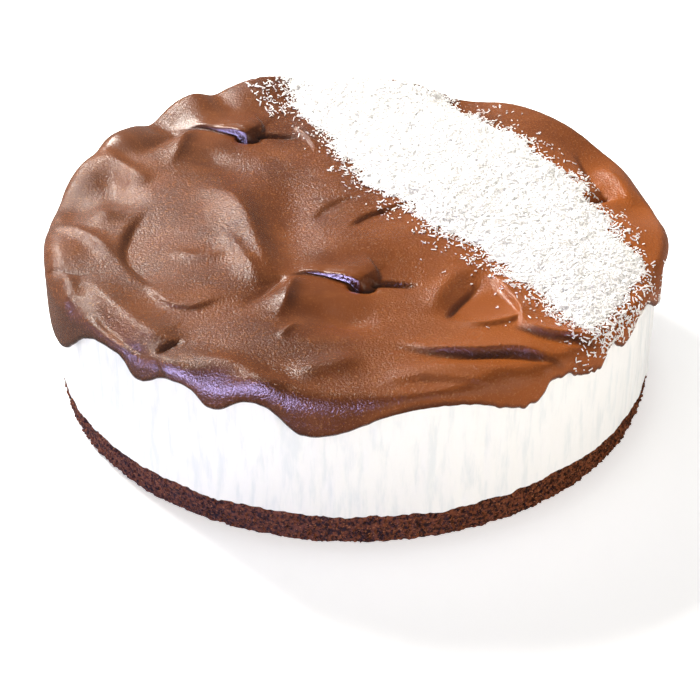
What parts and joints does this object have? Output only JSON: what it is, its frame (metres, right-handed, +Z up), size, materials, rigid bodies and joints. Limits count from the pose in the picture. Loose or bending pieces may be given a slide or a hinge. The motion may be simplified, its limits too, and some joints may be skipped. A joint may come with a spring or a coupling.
{
  "type": "coconut cake",
  "caption": "Round chilled cake with a crumb base, a white cream filling, a spread chocolate top that drips over the rim and a band of grated coconut.",
  "frame": {"origin": "centre of the flat underside of the crumb base", "axes": "+Z up through the layers; the front curl of the chocolate faces -Y, and the coconut band runs from the rear to the front right"},
  "size_m": [0.2458, 0.2465, 0.0727],
  "materials": {
    "crumb": "coarse dark biscuit crumb, matt",
    "cream": "smooth set cream with faint upright smears, satin",
    "chocolate": "milk chocolate spread with a spatula, soft sheen with a fine grain",
    "coconut": "finely grated dry coconut, matt"
  },
  "bodies": {
    "root": {"crumb_base": "crumb", "cream_filling": "cream", "chocolate_topping": "chocolate", "coconut_drift": "coconut"}
  },
  "joints": []
}
